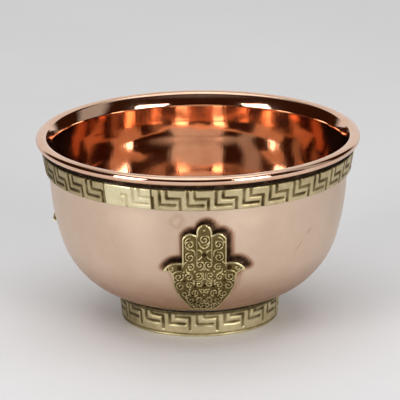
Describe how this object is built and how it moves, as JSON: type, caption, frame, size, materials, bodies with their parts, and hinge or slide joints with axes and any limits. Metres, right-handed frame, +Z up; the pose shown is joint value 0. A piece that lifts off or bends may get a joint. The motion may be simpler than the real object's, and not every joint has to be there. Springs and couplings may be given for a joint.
{
  "type": "offering bowl",
  "caption": "Round spun copper bowl with a rolled rim, a brass key-pattern band under it, brass hand emblems on its side and a key-pattern ring foot; it holds small offerings.",
  "frame": {"origin": "centre of the foot's ring on the surface that the bowl stands on", "axes": "+Z up along the bowl's axis, -Y towards the front emblem, +X to the right as the front emblem is looked at"},
  "size_m": [0.0762, 0.0762, 0.0444],
  "materials": {
    "copper": "satin outside, polished inside",
    "brass": "polished lines over dark recesses",
    "solder": "dull"
  },
  "bodies": {
    "root": {"bowl": "copper", "rim_band": "brass", "foot_ring": "brass", "hamsa_front": "brass", "hamsa_right": "brass", "hamsa_left": "brass", "rim_band_solder": "solder", "foot_ring_solder": "solder", "hamsa_front_solder": "solder", "hamsa_right_solder": "solder", "hamsa_left_solder": "solder", "rim_lap_solder": "solder", "foot_lap_solder": "solder"}
  },
  "joints": []
}
